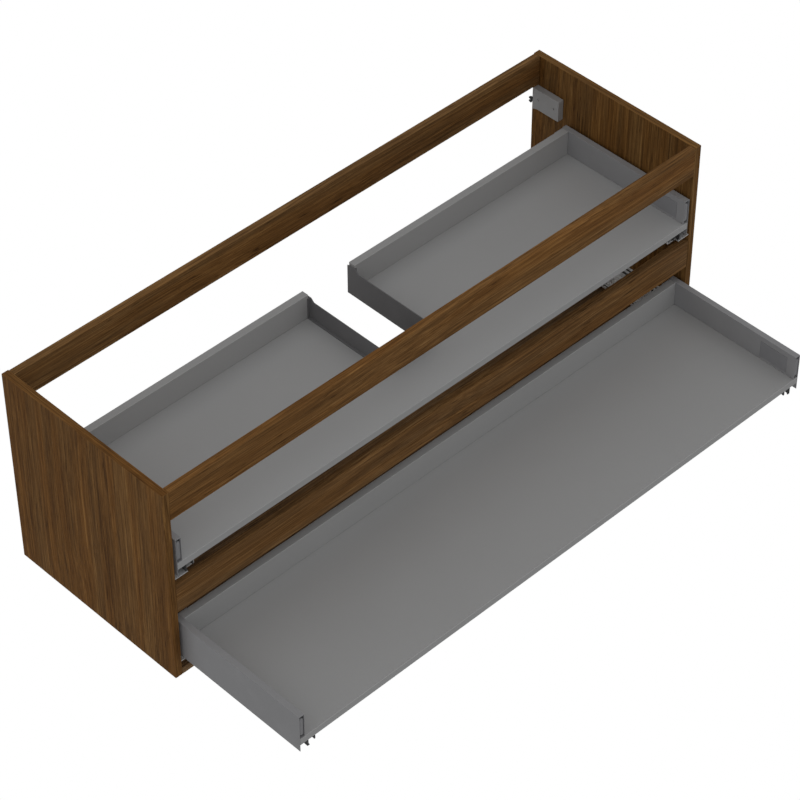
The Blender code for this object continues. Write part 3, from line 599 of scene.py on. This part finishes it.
def screw_mesh(radius, height):
    """A pan head with a rounded rim, a cross recess and a short length of shank."""
    bm = bmesh.new()
    shank = radius * SHANK_SHARE
    profile = [(0, -SHANK_LENGTH), (shank, -SHANK_LENGTH), (shank, 0)]
    profile += [(radius, 0), (radius, height * RIM_SHARE)]
    for step in range(1, RIM_STEPS):
        angle = math.pi / 2 * step / RIM_STEPS
        rise = RIM_SHARE + (1 - RIM_SHARE) * math.sin(angle)
        profile.append((radius * math.cos(angle) ** RIM_POWER, height * rise))
    profile.append((0, height))
    turned(bm, profile, SCREW_SEGMENTS)
    head = bpy.data.objects.new("screw_head", mesh_from("screw_head", bm, COAT["zinc_steel"]))
    bm = bmesh.new()
    length, width, depth = CROSS_SHARES
    for turn in (0, math.pi / 2):
        arm = Matrix.Diagonal((radius * length, radius * width, height * depth, 1))
        place = Matrix.Translation((0, 0, height)) @ Matrix.Rotation(turn, 4, "Z") @ arm
        bmesh.ops.create_cube(bm, size=1.0, matrix=place)
    cross = bpy.data.objects.new("screw_cross", mesh_from("screw_cross", bm, COAT["zinc_steel"]))
    for obj in (head, cross):
        bpy.context.scene.collection.objects.link(obj)
    cut = head.modifiers.new("cross", "BOOLEAN")
    cut.object = cross
    cut.solver = "EXACT"
    cut.use_self = True
    graph = bpy.context.evaluated_depsgraph_get()
    mesh = bpy.data.meshes.new_from_object(head.evaluated_get(graph))
    for obj in (head, cross):
        bpy.data.objects.remove(obj, do_unlink=True)
    mesh.name = "pan_head_screw"
    return mesh


def make_screws():
    """The screws through the runner flanges, the drawer profiles and the back brackets."""
    large = screw_mesh(*FLANGE_SCREW)
    small = screw_mesh(*FLOOR_SCREW)
    for tag, side in RUNNERS:
        for number, behind in enumerate(FLANGE_SCREWS):
            place = facing(at(side, tag, FLANGE_FACE, behind, FLANGE_SCREW_HEIGHT), (-side, 0, 0))
            piece(f"flange_screw_{tag}_{number}", large, place, "cabinet")
        low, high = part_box(f"runner_drawer_{tag}")
        inside = [side * (PANEL_INSIDE - distance) for distance in PROFILE_SCREW_DISTANCES]
        for number, (x, behind) in enumerate((x, b) for b in PROFILE_SCREWS for x in inside):
            place = facing(Vector((x, low.y + behind, high.z - PROFILE_SHEET)), (0, 0, -1))
            piece(f"floor_screw_{tag}_{number}", small, place, drawer_of(tag))
        low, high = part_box(f"back_bracket_{tag}")
        x = low.x + BRACKET_SCREW_IN if side > 0 else high.x - BRACKET_SCREW_IN
        for number, share in enumerate(BRACKET_SCREW_SHARES):
            place = facing(Vector((x, high.y, low.z + share * (high.z - low.z))), (0, 1, 0))
            piece(f"bracket_screw_{tag}_{number}", large, place, drawer_of(tag))


def make_guides():
    """Guide strips in the trough, on both sides of each middle profile."""
    for tag, side in RUNNERS:
        for (start, end), bars in GUIDES:
            for word, (material, near, far, bottom, top) in bars.items():
                corners = [(at(side, tag, near, start, bottom), at(side, tag, far, end, top))]
                bar = rounded_bars(f"guide_{word}_{tag}", corners, GUIDE_EDGE, COAT[material])
                piece(f"runner_guide_{word}_{tag}", bar, Matrix.Identity(4), "cabinet")


def make_flange_bands():
    """Black strips that paint the shade in each runner's flange slots, and pressed beads, along the screw
    flange between its screws.
    """
    kinds = (
        # The black strips are painted shade, standing in for the dark slots in each flange
        ("shaded_slots", SHADED_SLOT_HEIGHTS, SHADED_SLOT_DEPTH, "black_plastic", "black_plastic"),
        ("beads", BEAD_HEIGHTS, BEAD_DEPTH, "bright_zinc", "zinc_steel"),
    )
    for tag, side in RUNNERS:
        for word, heights, (near, far), material, slot in kinds:
            for number, (start, end) in enumerate(BAND_SPANS):
                name = f"flange_{word}_{tag}_{number}"
                corners = [
                    (at(side, tag, near, start, bottom), at(side, tag, far, end, top))
                    for bottom, top in heights
                ]
                mesh = rounded_bars(name, corners, BAND_EDGE, COAT[material])
                piece(name, mesh, Matrix.Identity(4), "cabinet")


def make_carriages():
    """The white nylon block on the rear end of each middle profile, which runs in the trough."""
    near, far, bottom, top = CARRIAGE
    for tag, side in RUNNERS:
        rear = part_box(f"runner_middle_{tag}")[1].y - CABINET_FRONT
        start, end = (rear + behind for behind in CARRIAGE_SPAN)
        corners = [(at(side, tag, near, start, bottom), at(side, tag, far, end, top))]
        block = rounded_bars(f"carriage_{tag}", corners, CARRIAGE_EDGE, COAT["white_plastic"])
        piece(f"runner_carriage_{tag}", block, Matrix.Identity(4), f"runner_middle_{tag}")


def make_damper_rods():
    """The piston rod that stands out of each damper's front end, with a rounded buffer on it."""
    bm = bmesh.new()
    turned(bm, [(radius * MM, distance * MM) for radius, distance in DAMPER_ROD], ROD_SEGMENTS)
    mesh = mesh_from("damper_rod", bm, COAT["zinc_steel"])
    for tag, _ in RUNNERS:
        low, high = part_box(f"runner_damper_{tag}")
        point = Vector(((low.x + high.x) / 2, low.y + DAMPER_TUBE_START, high.z - DAMPER_TUBE_RADIUS))
        piece(f"damper_rod_{tag}", mesh, facing(point, (0, -1, 0)), "cabinet")


def make_catch_mounts():
    """Two cheeks under each drawer floor, and the pin that the catch turns on."""
    length = CHEEKS[-1][1] - CHEEKS[0][0] + 2 * PIN_PROUD
    end = PIN_RADIUS - PIN_CHAMFER
    profile = [(0, 0), (end, 0), (PIN_RADIUS, PIN_CHAMFER)]
    profile += [(PIN_RADIUS, length - PIN_CHAMFER), (end, length), (0, length)]
    for tag, side in RUNNERS:
        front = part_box(f"drawer_side_{tag}")[0]
        for number, distances in enumerate(CHEEKS):
            corners = [
                (side * (PANEL_INSIDE - distance), front.y + behind, front.z + height)
                for distance, behind, height in zip(distances, CHEEK_SPAN, CHEEK_HEIGHTS)
            ]
            cheek = rounded_bars(f"cheek_{tag}_{number}", [corners], CHEEK_EDGE, COAT["black_plastic"])
            piece(f"catch_cheek_{tag}_{number}", cheek, Matrix.Identity(4), drawer_of(tag))
        bm = bmesh.new()
        turned(bm, profile, PIN_SEGMENTS)
        pin = mesh_from(f"pin_{tag}", bm, COAT["zinc_steel"])
        x = side * (PANEL_INSIDE - CHEEKS[0][0] + PIN_PROUD)
        place = facing(Vector((x, front.y + PIN_BEHIND, front.z + PIN_HEIGHT)), (-side, 0, 0))
        piece(f"catch_pin_{tag}", pin, place, drawer_of(tag))


def make_camera():
    azimuth, elevation = CAMERA_AZIMUTH, CAMERA_ELEVATION
    back = Vector((
        math.sin(azimuth) * math.cos(elevation),
        -math.cos(azimuth) * math.cos(elevation),
        math.sin(elevation),
    ))
    right = Vector((math.cos(azimuth), math.sin(azimuth), 0))
    up = back.cross(right)
    cosine, sine = math.cos(CAMERA_ROLL), math.sin(CAMERA_ROLL)
    right, up = right * cosine + up * sine, up * cosine - right * sine
    data = bpy.data.cameras.new("camera")
    data.sensor_width = SENSOR
    data.lens = CAMERA_LENS
    data.clip_end = CAMERA_REACH
    camera = bpy.data.objects.new("camera", data)
    camera.matrix_world = Matrix((right, up, back)).transposed().to_4x4()
    camera.location = CAMERA_PLACE
    bpy.context.scene.collection.objects.link(camera)
    bpy.context.scene.camera = camera


def make_world():
    """A studio that lights the object a little more from above, and that the camera sees as plain white."""
    world = bpy.data.worlds.new("studio")
    world.use_nodes = True
    bpy.context.scene.world = world
    tree = world.node_tree
    background = tree.nodes["Background"]
    place = tree.nodes.new("ShaderNodeTexCoord")
    split = tree.nodes.new("ShaderNodeSeparateXYZ")
    span = tree.nodes.new("ShaderNodeMapRange")
    span.inputs["From Min"].default_value = -1.0
    span.inputs["To Min"].default_value = SKY_STRENGTH * SKY_FROM_BELOW
    span.inputs["To Max"].default_value = SKY_STRENGTH
    tree.links.new(place.outputs["Generated"], split.inputs[0])
    tree.links.new(split.outputs[2], span.inputs[0])
    path = tree.nodes.new("ShaderNodeLightPath")
    strength = tree.nodes.new("ShaderNodeMix")
    strength.inputs["B"].default_value = 1.0
    tree.links.new(path.outputs["Is Camera Ray"], strength.inputs["Factor"])
    tree.links.new(span.outputs[0], strength.inputs["A"])
    tree.links.new(strength.outputs[0], background.inputs["Strength"])
    background.inputs["Color"].default_value = (1, 1, 1, 1)


def make_lamp():
    data = bpy.data.lights.new("soft_lamp", "AREA")
    data.size = LAMP_SIZE
    data.energy = LAMP_POWER
    lamp = bpy.data.objects.new("soft_lamp", data)
    lamp.location = LAMP_PLACE
    lamp.rotation_euler = (-Vector(LAMP_PLACE)).to_track_quat("-Z", "Y").to_euler()
    bpy.context.scene.collection.objects.link(lamp)


def make_floor():
    """A plain pale floor, seen from above only."""
    bm = bmesh.new()
    bmesh.ops.create_grid(bm, size=FLOOR_HALF)
    mesh = bpy.data.meshes.new("studio_floor")
    bm.to_mesh(mesh)
    bm.free()
    floor = bpy.data.objects.new("studio_floor", mesh)
    floor.location = (0, 0, FLOOR_HEIGHT)
    bpy.context.scene.collection.objects.link(floor)
    shade = Shade("studio_floor")
    value = shade.plus(FLOOR_COLOUR, shade.noise(shade.place, FLOOR_CLOUDS), FLOOR_CLOUD_DEPTH)
    shade.finish(shade.shaded((1.0, 1.0, 1.0), value), 0.9, Specular_IOR_Level=0.0)
    white = shade.add("Emission", {"Strength": 1.0})
    seen = shade.add("LightPath", {}).outputs["Is Camera Ray"]
    top = shade.add("MixShader", {0: seen, 1: shade.shader.outputs[0], 2: white.outputs[0]})
    clear = shade.add("BsdfTransparent", {})
    behind = shade.add("NewGeometry", {}).outputs["Backfacing"]
    both = shade.add("MixShader", {0: behind, 1: top.outputs[0], 2: clear.outputs[0]})
    output = next(n for n in shade.tree.nodes if n.type == "OUTPUT_MATERIAL")
    shade.tree.links.new(both.outputs[0], output.inputs[0])
    mesh.materials.append(shade.material)


make_camera()
make_world()
make_lamp()
make_floor()
for node_name, node_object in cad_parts.items():
    dress_node(node_name, node_object)
make_screws()
make_guides()
make_flange_bands()
make_carriages()
make_damper_rods()
make_catch_mounts()
bpy.context.scene.view_settings.view_transform = "Standard"
